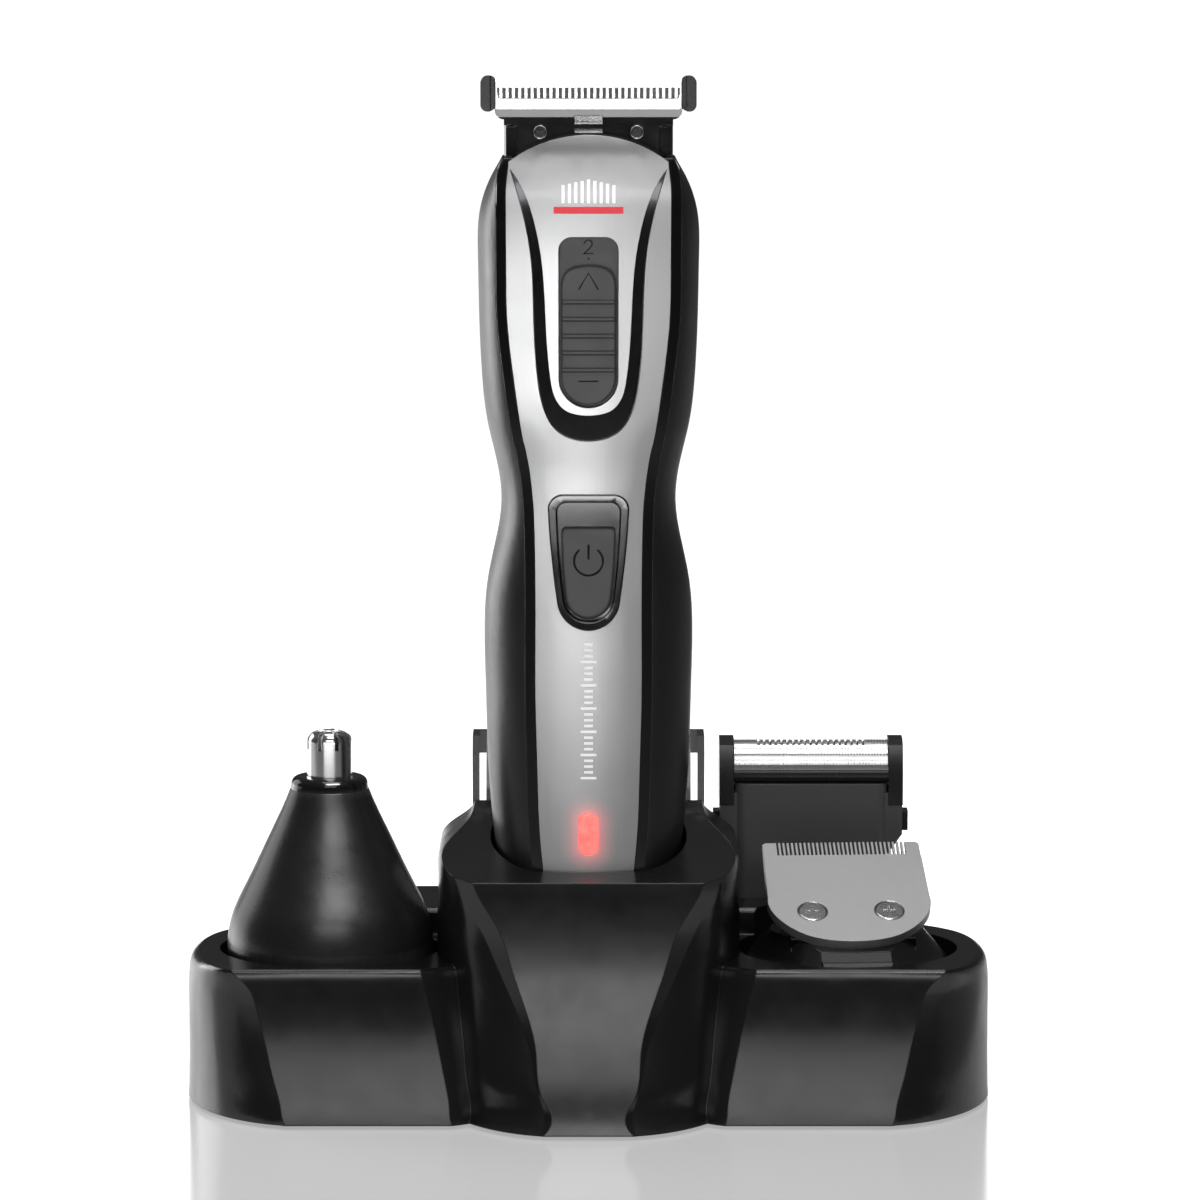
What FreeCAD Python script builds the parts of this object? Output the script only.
import FreeCAD, Part
import math, os
from FreeCAD import Vector, Placement, Rotation

# Cordless beard trimmer standing in its three-lobed charging stand, with a
# nose head, a precision head, a foil shaver head and a guide comb.
# All lengths are in millimetres.  +Z is up and the front faces -Y.
# Shapes are drawn about the trimmer's own axis and moved back by
# depth_shift, which puts the middle of the whole kit on Y = 0.

doc = FreeCAD.newDocument("BeardTrimmerKit")
sheet = doc.addObject("Spreadsheet::Sheet", "Sizes")
sheet.Label = "Sizes"

SIZES = [
    ("depth_shift", 1.75, "distance from the trimmer axis to the middle of the kit"),
    # stand
    ("stand_half_width", 78.2, "half of the overall width of the stand"),
    ("stand_front", 38.0, "front of the middle lobe at its foot"),
    ("stand_back", 41.5, "back of the rear ledge"),
    ("stand_wall", 2.4, "wall of the stand"),
    ("stand_lift", 0.8, "gap under the housing, filled by the feet"),
    ("lobe_centre", 50.5, "middle of each side cup"),
    ("lobe_height", 29.6, "rim of the side cups"),
    ("lobe_front", 21.5, "flat front of the side lobes"),
    ("cup_depth_level", 21.5, "floor of the side cups"),
    ("cup_radius", 21.6, "radius of the side cups"),
    ("cup_centre_y", 3.5, "middle of the side cups, front to back"),
    ("ledge_height", 35.0, "top of the rear ledge"),
    ("ledge_half_width", 66.0, "half width of the rear ledge"),
    ("foot_radius", 4.5, "rubber foot"),
    ("foot_height", 2.4, "rubber foot"),
    ("base_plate_thickness", 2.2, "closing plate under the stand"),
    ("screw_head_radius", 2.3, "head of a closing screw"),
    ("screw_head_height", 1.2, "head of a closing screw"),
    ("screw_shank_radius", 1.2, "shank of a closing screw"),
    ("screw_shank_length", 9.0, "shank of a closing screw"),
    ("pin_radius", 1.0, "charging pin"),
    ("pin_height", 9.0, "charging pin"),
    ("pin_spacing", 5.0, "charging pin to the middle"),
    ("inlet_radius", 1.8, "bore of the charging inlet"),
    ("inlet_body_width", 9.0, "body of the charging inlet"),
    ("inlet_body_rise", 4.5, "top of the inlet's body above its bore"),
    ("inlet_length", 12.0, "body of the charging inlet"),
    ("inlet_depth", 9.5, "depth of the bore"),
    ("inlet_level", 13.0, "height of the bore"),
    ("stand_board_width", 30.0, "charging board"),
    ("stand_board_depth", 18.0, "charging board"),
    ("stand_board_thickness", 1.6, "charging board"),
    # trimmer
    ("trimmer_bottom", 33.0, "foot of the trimmer"),
    ("trimmer_wall", 1.8, "wall of the trimmer housing"),
    ("trim_width", 1.65, "black trim beside the face plate"),
    ("face_crown", 0.7, "bulge of the face across its width"),
    ("groove_depth", 1.1, "depth of the chrome groove"),
    ("cap_level", 47.2, "top of the bottom cap and foot of the face plate"),
    ("shoulder_level", 184.4, "top of the rear housing"),
    ("motor_radius", 7.6, "motor can"),
    ("motor_length", 25.0, "motor can"),
    ("motor_level", 146.0, "foot of the motor can"),
    ("cell_radius", 7.0, "battery cell"),
    ("cell_length", 50.0, "battery cell"),
    ("cell_level", 64.0, "foot of the battery cell"),
    ("shaft_radius", 1.0, "motor shaft"),
    ("shaft_length", 12.0, "motor shaft above the can"),
    ("cam_radius", 3.0, "eccentric cam"),
    ("cam_height", 4.0, "eccentric cam"),
    ("cam_throw", 0.9, "offset of the cam pin"),
    ("cam_pin_radius", 0.8, "cam pin"),
    ("cam_pin_length", 4.6, "cam pin"),
    ("board_width", 15.0, "control board"),
    ("board_height", 70.0, "control board"),
    ("board_thickness", 1.6, "control board"),
    ("slider_width", 10.4, "length slider"),
    ("slider_height", 26.3, "length slider"),
    ("slider_travel", 5.2, "travel of the length slider"),
    ("power_travel", 4.4, "travel of the power switch"),
    ("led_width", 2.4, "lamp"),
    ("led_depth", 2.6, "lamp"),
    ("led_height", 5.0, "lamp"),
    # blade head
    ("blade_half_width", 17.4, "half width of the moving blade"),
    ("blade_tip", 199.7, "tips of the fixed blade"),
    ("moving_tip", 197.6, "tips of the moving blade"),
    ("fixed_gaps", 24, "gaps in the fixed blade"),
    ("moving_gaps", 29, "gaps in the moving blade"),
    ("head_screw_radius", 1.05, "small screw on the blade head"),
    ("head_screw_spacing", 9.2, "small screw to the middle"),
    # nose head
    ("nose_base_radius", 20.1, "foot of the nose cone"),
    ("nose_tube_radius", 4.4, "guard tube of the nose head"),
    ("nose_tube_top", 72.5, "top of the guard tube"),
    ("nose_shaft_radius", 1.5, "drive shaft of the nose head"),
    ("nose_shaft_length", 30.0, "drive shaft of the nose head"),
    # precision head
    ("plate_width", 31.0, "steel plate of the precision head"),
    ("plate_length", 31.0, "steel plate of the precision head"),
    ("plate_thickness", 1.9, "steel plate of the precision head"),
    ("plate_tilt", 28.8, "tilt of the steel plate, degrees"),
    ("plate_yaw", 4.0, "turn of the precision head in its cup, degrees"),
    ("plate_gaps", 31, "gaps in the steel plate"),
    ("beard_base_radius", 19.4, "foot of the precision head"),
    ("beard_screw_radius", 3.0, "screw on the steel plate"),
    # foil shaver head
    ("shaver_centre", 44.4, "middle of the shaver head"),
    ("shaver_centre_y", 33.4, "middle of the shaver head, front to back"),
    ("shaver_half_width", 18.3, "half width over the side arms"),
    ("shaver_bottom", 27.0, "foot of the shaver head"),
    ("foil_radius", 4.4, "radius of the foil"),
    ("button_width", 4.0, "release button"),
    ("button_height", 4.0, "release button"),
    ("button_depth", 2.6, "release button"),
    # guide comb
    ("comb_half_width", 23.0, "half width of the guide comb"),
    ("comb_bottom", 29.5, "foot of the guide comb"),
    ("comb_top", 68.1, "top of the guide comb"),
    ("comb_teeth", 9, "teeth of the guide comb"),
]
for i, (alias, value, note) in enumerate(SIZES):
    row = i + 2
    sheet.set("A%d" % row, note)
    sheet.set("B%d" % row, str(value))
    sheet.setAlias("B%d" % row, alias)
doc.recompute()


def S(alias):
    return float(sheet.get(alias))


DY = S("depth_shift")
SHIFT = Placement(Vector(0, -DY, 0), Rotation())


def tab(pairs, z):
    if z <= pairs[0][0]:
        return pairs[0][1]
    for (a, b), (c, d) in zip(pairs, pairs[1:]):
        if z <= c:
            return b + (d - b) * (z - a) / float(c - a)
    return pairs[-1][1]


# ---------------------------------------------------------------- helpers
def line(a, b):
    return Part.LineSegment(a, b).toShape()


def curve(points):
    c = Part.BSplineCurve()
    n = len(points) - 1
    c.interpolate(Points=points, Parameters=[i / float(n) for i in range(n + 1)])
    return c.toShape()


def poly(points):
    return Part.makePolygon(list(points) + [points[0]])


def face(wire):
    return Part.Face(wire)


def box(x0, x1, y0, y1, z0, z1):
    return Part.makeBox(x1 - x0, y1 - y0, z1 - z0, Vector(x0, y0, z0))


def cyl(r, length, base, axis=(0, 0, 1)):
    return Part.makeCylinder(r, length, Vector(*base), Vector(*axis))


def prism_y(wire, y0, y1):
    """wire drawn in the plane Y = 0, pushed from y0 to y1"""
    w = wire.copy()
    w.translate(Vector(0, y0, 0))
    return Part.Face(w).extrude(Vector(0, y1 - y0, 0))


def prism_x(points, x0, x1):
    w = poly([Vector(x0, y, z) for y, z in points])
    return Part.Face(w).extrude(Vector(x1 - x0, 0, 0))


def prism_z(points, z0, z1):
    w = poly([Vector(x, y, z0) for x, y in points])
    return Part.Face(w).extrude(Vector(0, 0, z1 - z0))


def rounded_xz(cx, cz, w, hgt, r):
    """rounded rectangle in the XZ plane"""
    x0, x1, z0, z1 = cx - w / 2.0, cx + w / 2.0, cz - hgt / 2.0, cz + hgt / 2.0
    k = r * (1 - math.sqrt(0.5))
    e = []
    def P(x, z):
        return Vector(x, 0, z)
    e.append(line(P(x0 + r, z0), P(x1 - r, z0)))
    e.append(Part.Arc(P(x1 - r, z0), P(x1 - k, z0 + k), P(x1, z0 + r)).toShape())
    e.append(line(P(x1, z0 + r), P(x1, z1 - r)))
    e.append(Part.Arc(P(x1, z1 - r), P(x1 - k, z1 - k), P(x1 - r, z1)).toShape())
    e.append(line(P(x1 - r, z1), P(x0 + r, z1)))
    e.append(Part.Arc(P(x0 + r, z1), P(x0 + k, z1 - k), P(x0, z1 - r)).toShape())
    e.append(line(P(x0, z1 - r), P(x0, z0 + r)))
    e.append(Part.Arc(P(x0, z0 + r), P(x0 + k, z0 + k), P(x0 + r, z0)).toShape())
    return Part.Wire(e)


def loft(wires):
    return Part.makeLoft(wires, True, False)


def round_edges(shape, radius, test):
    """fillet the edges that pass a test, keeping the sharp shape if it fails"""
    edges = [e for e in shape.Edges if test(e)]
    if not edges:
        return shape
    try:
        r = shape.makeFillet(radius, edges)
        if r.isValid() and r.Volume > 0 and abs(r.Volume - shape.Volume) < 0.25 * shape.Volume:
            return r
    except Exception:
        pass
    print("fillet skipped", radius, len(edges))
    return shape


def one(shape):
    """the solids of a boolean result, as one solid or a compound"""
    sol = [x for x in shape.Solids if x.Volume > 0.02]
    if len(sol) == 1:
        return sol[0]
    return Part.makeCompound(sol)


NODES = []


def node(name, shape, place=None):
    o = doc.addObject("Part::Feature", name)
    o.Label = name
    own = shape.Placement
    o.Shape = shape
    o.Placement = (SHIFT.multiply(place) if place else SHIFT).multiply(own)
    NODES.append(o)
    return o


def keep(obj, name):
    obj.Label = name
    NODES.append(obj)
    return obj


def place_at(x, y, z, rot=None):
    return Placement(Vector(x, y - DY, z), rot or Rotation())


# PartDesign helpers -------------------------------------------------------
def origin_plane(body, role):
    for f in body.Origin.OriginFeatures:
        if f.Role == role:
            return f
    raise RuntimeError(role)


def new_body(name, x, y, z, rot=None):
    b = doc.addObject("PartDesign::Body", name)
    b.Label = name
    b.Placement = place_at(x, y, z, rot)
    return b


def rect_sketch(body, name, role, w_expr, h_expr):
    sk = body.newObject("Sketcher::SketchObject", name)
    sk.AttachmentSupport = (origin_plane(body, role), [""])
    sk.MapMode = "FlatFace"
    import Sketcher
    p = [Vector(-1, -1, 0), Vector(1, -1, 0), Vector(1, 1, 0), Vector(-1, 1, 0)]
    for i in range(4):
        sk.addGeometry(Part.LineSegment(p[i], p[(i + 1) % 4]), False)
    for i in range(4):
        sk.addConstraint(Sketcher.Constraint("Coincident", i, 2, (i + 1) % 4, 1))
    sk.addConstraint(Sketcher.Constraint("Horizontal", 0))
    sk.addConstraint(Sketcher.Constraint("Horizontal", 2))
    sk.addConstraint(Sketcher.Constraint("Vertical", 1))
    sk.addConstraint(Sketcher.Constraint("Vertical", 3))
    sk.addConstraint(Sketcher.Constraint("Symmetric", 0, 1, 1, 2, -1, 1))
    cw = sk.addConstraint(Sketcher.Constraint("Distance", 0, 2.0))
    ch = sk.addConstraint(Sketcher.Constraint("Distance", 1, 2.0))
    sk.setExpression("Constraints[%d]" % cw, w_expr)
    sk.setExpression("Constraints[%d]" % ch, h_expr)
    return sk


def circle_sketch(body, name, role, specs):
    """specs: list of (x, y, radius expression)"""
    import Sketcher
    sk = body.newObject("Sketcher::SketchObject", name)
    sk.AttachmentSupport = (origin_plane(body, role), [""])
    sk.MapMode = "FlatFace"
    for x, y, r in specs:
        g = sk.addGeometry(Part.Circle(Vector(x, y, 0), Vector(0, 0, 1), 1.0), False)
        if abs(x) < 1e-9 and abs(y) < 1e-9:
            sk.addConstraint(Sketcher.Constraint("Coincident", g, 3, -1, 1))
        c = sk.addConstraint(Sketcher.Constraint("Radius", g, 1.0))
        sk.setExpression("Constraints[%d]" % c, r)
    return sk


def pad(body, sk, length_expr, both=False, reverse=False):
    f = body.newObject("PartDesign::Pad", "Pad")
    f.Profile = sk
    f.setExpression("Length", length_expr)
    if both:
        f.SideType = "Symmetric"
    f.Reversed = reverse
    sk.Visibility = False
    body.Tip = f
    return f


def pocket(body, sk, length_expr, reverse=False):
    f = body.newObject("PartDesign::Pocket", "Pocket")
    f.Profile = sk
    f.setExpression("Length", length_expr)
    f.Reversed = reverse
    sk.Visibility = False
    body.Tip = f
    return f


def rect_body(name, role, w_expr, h_expr, t_expr, x, y, z, rot=None):
    b = new_body(name, x, y, z, rot)
    sk = rect_sketch(b, name + "_outline", role, w_expr, h_expr)
    pad(b, sk, t_expr, both=True)
    NODES.append(b)
    return b


# =====================================================================
# STAND
# =====================================================================
FB = S("stand_front")
T_F = [(0, FB), (7.6, 34.4), (15, 31.1), (22.5, 28.1), (30.5, 25.4), (38, 23.5), (46, 22.2), (60, 21.0)]
T_A = [(0, 8.7), (7.6, 8.75), (15, 9.9), (22.5, 11.7), (30.5, 14.6), (38, 17.3), (46, 21.9), (52, 23.0), (60, 21.0)]
T_B = [(0, 9.0), (7.6, 9.4), (15, 11.0), (22.5, 13.7), (30.5, 17.4), (38, 20.9), (46, 24.7), (52, 25.2), (60, 22.6)]
T_W = [(0, 29.4), (43, 29.4), (47, 29.2), (50.3, 28.6), (52.6, 26.0), (55, 22.9), (60, 21.5)]


def tower_wire(z, off=0.0):
    F, A, B, W = tab(T_F, z) - off, tab(T_A, z) - off * 0.7, tab(T_B, z) - off * 0.8, tab(T_W, z) - off
    d = 0.75 * (B - A)
    yb = 19.6 - off
    yt = -F + d

    def P(x, y):
        return Vector(x, y, z)
    side = []
    for k in range(6):
        u = math.radians(12 + 78 * k / 5.0)
        s_ = (math.sin(u) - math.sin(math.radians(12))) / (1 - math.sin(math.radians(12)))
        c_ = math.cos(u) / math.cos(math.radians(12))
        side.append((B + (W - B) * s_, -2.0 + (yt + 2.0) * c_))
    side[-1] = (W, -2.0)
    edges = [line(P(-A, -F), P(A, -F)), line(P(A, -F), P(B, yt)),
             curve([P(x, y) for x, y in side]),
             line(P(W, -2.0), P(W, yb)), line(P(W, yb), P(-W, yb)), line(P(-W, yb), P(-W, -2.0)),
             curve([P(-x, y) for x, y in reversed(side)]),
             line(P(-B, yt), P(-A, -F))]
    return Part.Wire(edges)


L_O = [(0, 57.6), (9, 60.2), (17, 62.2), (23, 63.8), (26.3, 65.4), (29.6, 69.0)]
L_I = [(0, 25.9), (9, 27.5), (17, 29.2), (23, 30.6), (26.3, 31.5), (29.6, 32.3)]
L_D = [(0, 0.9), (9, 2.4), (17, 3.0), (23, 3.2), (26.3, 3.0), (29.6, 1.6)]
L_F = [(0, 7.2), (4, 5.85), (9, 4.15), (13, 2.85), (17, 1.65), (20, 0.9), (23, 0.35), (26.3, 0.05), (29.6, 0.0)]
L_N = [(0, -0.3), (2, -0.2), (6, 0.0), (25.5, 0.0), (28.4, 0.7), (29.6, 2.0)]


def lobe_wire(z, sx, off=0.0):
    W = S("stand_half_width") - off - tab(L_N, z)
    n = tab(L_N, z)
    xo, xi = tab(L_O, z) - n * 0.3, tab(L_I, z)
    d = tab(L_D, z)
    yf = -S("lobe_front") - tab(L_F, z) + off + max(0.0, n) * 0.6
    xo2, yo2 = xo + d, yf + d * 0.55
    xi2, yi2 = xi - 1.6, yf + 0.9
    yc, yk = 5.0, 33.5 - off - max(0.0, n)

    def P(x, y):
        return Vector(sx * x, y, z)
    pts = [(xo2, yo2)]
    for k in range(1, 5):
        u = math.radians(15 + 75 * k / 4.0)
        s_ = (math.sin(u) - math.sin(math.radians(15))) / (1 - math.sin(math.radians(15)))
        c_ = math.cos(u) / math.cos(math.radians(15))
        pts.append((xo2 + (W - xo2) * s_, yc + (yo2 - yc) * c_))
    for k in range(1, 5):
        v = math.radians(90 * k / 4.0)
        pts.append((50.0 + (W - 50.0) * math.cos(v) ** 0.9, yc + (yk - yc) * math.sin(v) ** 0.9))
    xin = 14.0
    yi3 = yi2 + 0.7 * (xi2 - xin)
    edges = [line(P(xi, yf), P(xo, yf)), line(P(xo, yf), P(xo2, yo2)),
             curve([P(x, y) for x, y in pts]),
             line(P(50.0, yk), P(xin, yk)), line(P(xin, yk), P(xin, yi3)),
             line(P(xin, yi3), P(xi2, yi2)), line(P(xi2, yi2), P(xi, yf))]
    return Part.Wire(edges)


def ledge_solid(off=0.0, top=None):
    w, y1, z1 = S("ledge_half_width") - off, S("stand_back") - off, (top or S("ledge_height")) - off
    r = 9.0 - off
    s = box(-w, w, 16.0, y1, 0.8 - off, z1)
    s = round_edges(s, r, lambda e: abs(e.BoundBox.ZLength) > 20 and e.BoundBox.YMin > 30)
    return s


Z0 = S("stand_lift")
t_levels = [Z0, 7.6, 15, 22.5, 30.5, 38, 46, 50.3, 52.6, 55, 58.5]
tower = loft([tower_wire(z) for z in t_levels])
l_levels = [Z0, 4, 9, 13, 17, 20, 23, 26.3, 28.4, 29.6]
lobes = [loft([lobe_wire(z, sx) for z in l_levels]) for sx in (-1, 1)]
ledge = ledge_solid()
ledge = round_edges(ledge, 1.2, lambda e: abs(e.BoundBox.ZMin - S("ledge_height")) < 0.01 and e.BoundBox.ZLength < 0.01)

# sloping top of the tower: lip at the front, rising to a level rear rim
top_cut = prism_x([(-45, 41.0), (-20.7, 47.1), (7.0, 54.6), (10.0, 55.2), (25, 56.4), (25, 80), (-45, 80)], -60, 60)
tower = tower.cut(top_cut)


def trimmer_tables():
    W = [(33, 16.2), (45, 17.6), (55.6, 18.55), (67.4, 19.45), (79.1, 19.8), (87, 20.05), (92.8, 20.1), (98.7, 19.9),
         (102.6, 19.5), (106.5, 18.75), (110.3, 17.95), (114.2, 17.2), (118.1, 16.8), (122, 17.0), (125.8, 17.65),
         (129.7, 18.5), (133.6, 19.45), (137.4, 20.1), (145.2, 20.65), (152.9, 20.95), (164.4, 21.2), (172.1, 21.15),
         (175.9, 20.5), (180.1, 18.95), (182.4, 17.6), (184.4, 16.5), (187, 16.0), (191, 15.7)]
    F = [(33, 15.2), (47.2, 16.0), (60, 16.3), (92, 16.1), (121, 16.1), (129, 16.4), (137, 16.9), (172, 16.9),
         (178, 16.5), (184.4, 15.3), (191, 13.4)]
    B = [(33, 14.0), (60, 15.6), (90, 16.0), (119, 14.2), (150, 16.8), (172, 16.4), (180, 15.0), (184.4, 14.0), (191, 13.4)]
    P = [(33, 8.4), (47.1, 8.85), (50.2, 9.05), (58, 9.65), (69.7, 10.0), (81.3, 10.3), (104.4, 10.3), (115.9, 10.5),
         (121, 10.85), (125.5, 11.4), (129.5, 12.15), (133.1, 12.95), (142.6, 14.3), (154, 15.55), (165.4, 15.75),
         (176.8, 15.8), (181, 15.55), (183.9, 15.3), (187, 15.0), (191, 14.7)]
    return W, F, B, P


TW, TF, TB, TP = trimmer_tables()


def plate_edge(z):
    return tab(TP, z) - 0.16


def trimmer_wire(z, off=0.0):
    W, F, B, P = tab(TW, z), tab(TF, z), tab(TB, z), tab(TP, z)
    T = min(P + S("trim_width"), W - 0.35)
    P = min(P, T - 0.3)
    k = 0.45 if off > 0 else 0.6
    W, F, B, P, T = W - off, F - off, B - off, P - k * off, T - k * off
    if T > W - 0.3:
        T = W - 0.3
        P = min(P, T - 0.3)
    yT, yW = -F + 0.45, -1.5
    crown = S("face_crown")

    def V3(x, y):
        return Vector(x, y, z)
    half = []
    for deg in (20, 44, 67, 90):
        u, u0 = math.radians(deg), math.radians(20)
        s_ = (math.sin(u) - math.sin(u0)) / (1 - math.sin(u0))
        c_ = math.cos(u) / math.cos(u0)
        half.append((T + (W - T) * s_, yW + (yT - yW) * c_))
    n = 2.4
    for deg in (22, 45, 68):
        v = math.radians(deg)
        half.append((W * math.cos(v) ** (2 / n), yW + (B - yW) * math.sin(v) ** (2 / n)))
    pts = half + [(0.0, B)] + [(-x, y) for x, y in reversed(half)]
    edges = [curve([V3(-P, -F), V3(0, -F - crown), V3(P, -F)]),
             line(V3(P, -F), V3(T, yT)),
             curve([V3(x, y) for x, y in pts]),
             line(V3(-T, yT), V3(-P, -F))]
    return Part.Wire(edges)


b_levels = [33, 45, 55.6, 67.4, 81.3, 92.8, 102.6, 110.3, 118.1, 125.8, 133.4, 142.6, 154, 165.4, 174, 178.5, 182, 184.4, 187.5, 191]
body_outer = loft([trimmer_wire(z) for z in b_levels])
pocket_levels = [32.7, 45, 55.6, 62]
pocket_solid = loft([trimmer_wire(z, -0.75) for z in pocket_levels])

# side cups, comb slot and shaver slot
cups = []
LC, CY = S("lobe_centre"), S("cup_centre_y")
for sx in (-1, 1):
    c = cyl(S("cup_radius"), 30, (sx * LC, CY, S("cup_depth_level")))
    cups.append(c)
slot_comb = box(-S("comb_half_width") - 0.6, S("comb_half_width") + 0.6, 19.6, 36.4, 29.2, 60)
sc, scy = S("shaver_centre"), S("shaver_centre_y")
slot_shaver = box(sc - 15.9, sc + 15.9, scy - 6.9, scy + 6.9, S("shaver_bottom") - 0.3, 60)

outer = tower.fuse([lobes[0], lobes[1], ledge])
outer = outer.removeSplitter() if outer.isValid() else outer
wall = S("stand_wall")
in_levels = [-1, 7.6, 15, 22.5, 28.5]
tower_in = loft([tower_wire(max(z, 0.01) if z > 0 else z, wall) for z in in_levels])
lobes_in = [loft([lobe_wire(z, sx, wall) for z in (-1, 4, 9, 17.2)]) for sx in (-1, 1)]
ledge_in = box(-S("ledge_half_width") + wall, S("ledge_half_width") - wall, 17, S("stand_back") - wall, -1, S("shaver_bottom") - 0.3 - 2.0)
ledge_in = round_edges(ledge_in, 6.6, lambda e: abs(e.BoundBox.ZLength) > 20 and e.BoundBox.YMin > 30)
hollow = tower_in.fuse([lobes_in[0], lobes_in[1], ledge_in])
inlet_y1 = S("stand_back")
inlet_w, inlet_top = S("inlet_body_width") / 2.0, S("inlet_level") + S("inlet_body_rise")
inlet_hole = box(-inlet_w, inlet_w, inlet_y1 - S("inlet_length"), inlet_y1 + 2, -2, inlet_top)
pin_holes = [cyl(S("pin_radius") + 0.05, 12, (sx * S("pin_spacing"), 0, 26)) for sx in (-1, 1)]
housing = outer.cut(hollow)
housing = housing.cut(pocket_solid)
housing = housing.cut(cups + [slot_comb, slot_shaver, inlet_hole] + pin_holes)
boss_spots = [(-62, 14), (62, 14), (-40, -8), (40, -8), (0, 14)]
base_slab = box(-90, 90, -40, 50, Z0, Z0 + S("base_plate_thickness"))
bosses = [cyl(3.0, 26.0 if x == 0 else 15.0, (x, y, Z0 + S("base_plate_thickness"))) for x, y in boss_spots]
shanks = [cyl(S("screw_shank_radius"), S("screw_shank_length"), (x, y, Z0 + S("screw_head_height"))) for x, y in boss_spots]
heads = [cyl(S("screw_head_radius"), S("screw_head_height"), (x, y, Z0)) for x, y in boss_spots]
housing = housing.fuse([b.cut(sh) for b, sh in zip(bosses, shanks)])
node("stand_housing", one(housing))

feet_spots = [(-60, -12), (60, -12), (-56, 32), (56, 32), (0, 6)]
foot_level = S("foot_height")
plate = hollow.common(base_slab)
plate = plate.cut([cyl(S("foot_radius"), foot_level, (x, y, 0)) for x, y in feet_spots] + shanks + heads)
node("stand_base_plate", one(plate))

feet = []
for i, (x, y) in enumerate(feet_spots):
    f = doc.addObject("Part::Cylinder", "foot_%d" % (i + 1))
    f.setExpression("Radius", "Sizes.foot_radius")
    f.setExpression("Height", "Sizes.foot_height")
    f.Placement = place_at(x, y, 0)
    feet.append(f)
feet_c = doc.addObject("Part::Compound", "stand_feet")
feet_c.Links = feet
keep(feet_c, "stand_feet")

screws = []
for i, (x, y) in enumerate(boss_spots):
    a = doc.addObject("Part::Cylinder", "stand_screw_head_%d" % (i + 1))
    a.setExpression("Radius", "Sizes.screw_head_radius")
    a.setExpression("Height", "Sizes.screw_head_height")
    a.Placement = place_at(x, y, Z0)
    b = doc.addObject("Part::Cylinder", "stand_screw_shank_%d" % (i + 1))
    b.setExpression("Radius", "Sizes.screw_shank_radius")
    b.setExpression("Height", "Sizes.screw_shank_length")
    b.Placement = place_at(x, y, Z0 + S("screw_head_height"))
    f = doc.addObject("Part::Fuse", "stand_screw_%d" % (i + 1))
    f.Base, f.Tool = a, b
    screws.append(f)
screws_c = doc.addObject("Part::Compound", "stand_screws")
screws_c.Links = screws
keep(screws_c, "stand_screws")

pins = []
for sx in (-1, 1):
    f = doc.addObject("Part::Cylinder", "pin_%s" % ("a" if sx < 0 else "b"))
    f.setExpression("Radius", "Sizes.pin_radius")
    f.setExpression("Height", "Sizes.pin_height")
    f.Placement = place_at(sx * S("pin_spacing"), 0, 33.3 - S("pin_height"))
    pins.append(f)
pins_c = doc.addObject("Part::Compound", "stand_contact_pins")
pins_c.Links = pins
keep(pins_c, "stand_contact_pins")
rect_body("stand_circuit_board", "XY_Plane", "Sizes.stand_board_width", "Sizes.stand_board_depth",
          "Sizes.stand_board_thickness", 0, 0, 33.3 - S("pin_height") - S("stand_board_thickness") / 2.0)

def sheet_box(name, width, depth, height, x, y, z):
    o = doc.addObject("Part::Box", name)
    o.setExpression("Length", width)
    o.setExpression("Width", depth)
    o.setExpression("Height", height)
    o.Placement = place_at(x, y, z)
    return o


plate_top = Z0 + S("base_plate_thickness")
sock_a = sheet_box("inlet_block", "Sizes.inlet_body_width", "Sizes.inlet_length",
                   "Sizes.inlet_level + Sizes.inlet_body_rise - Sizes.stand_lift - Sizes.base_plate_thickness",
                   -inlet_w, inlet_y1 - S("inlet_length"), plate_top)
sock_b = sheet_box("inlet_face", "Sizes.inlet_body_width", "Sizes.stand_wall",
                   "Sizes.inlet_level + Sizes.inlet_body_rise - Sizes.stand_lift",
                   -inlet_w, inlet_y1 - S("stand_wall"), Z0)
sock_f = doc.addObject("Part::Fuse", "inlet_body")
sock_f.Base, sock_f.Tool = sock_a, sock_b
sock_c = doc.addObject("Part::Cylinder", "inlet_bore")
sock_c.setExpression("Radius", "Sizes.inlet_radius")
sock_c.setExpression("Height", "Sizes.inlet_depth + 1")
sock_c.Placement = place_at(0, inlet_y1 - S("inlet_depth"), S("inlet_level"), Rotation(Vector(1, 0, 0), -90))
sock = doc.addObject("Part::Cut", "stand_dc_socket")
sock.Base, sock.Tool = sock_f, sock_c
keep(sock, "stand_dc_socket")

# =====================================================================
# TRIMMER
# =====================================================================
wall = S("trimmer_wall")
in_lv = [35.0, 45, 55.6, 67.4, 81.3, 92.8, 102.6, 110.3, 118.1, 125.8, 133.4, 142.6, 154, 165.4, 174, 178.5, 182, 184.4, 187.5, 192]
body_inner = loft([trimmer_wire(z, wall) for z in in_lv])
shell = body_outer.cut(body_inner)
CAP, SH = S("cap_level"), S("shoulder_level")


def xz(x, z):
    return Vector(x, 0, z)


plate_lv = [CAP, 50.2, 58, 69.7, 81.3, 92.8, 104.4, 115.9, 121, 125.5, 129.5, 133.1, 142.6, 154, 165.4, 176.8, 181, 183.9]


def side_curve(fn, levels, sx):
    return [xz(sx * fn(z), z) for z in levels]


def outline(fn, levels, top_mid, top_z):
    r = side_curve(fn, levels, 1)
    l_ = list(reversed(side_curve(fn, levels, -1)))
    top = Part.Arc(r[-1], xz(0, top_mid), l_[0]).toShape()
    return Part.Wire([line(l_[-1], r[0]), curve(r), top, curve(l_)])


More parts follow.
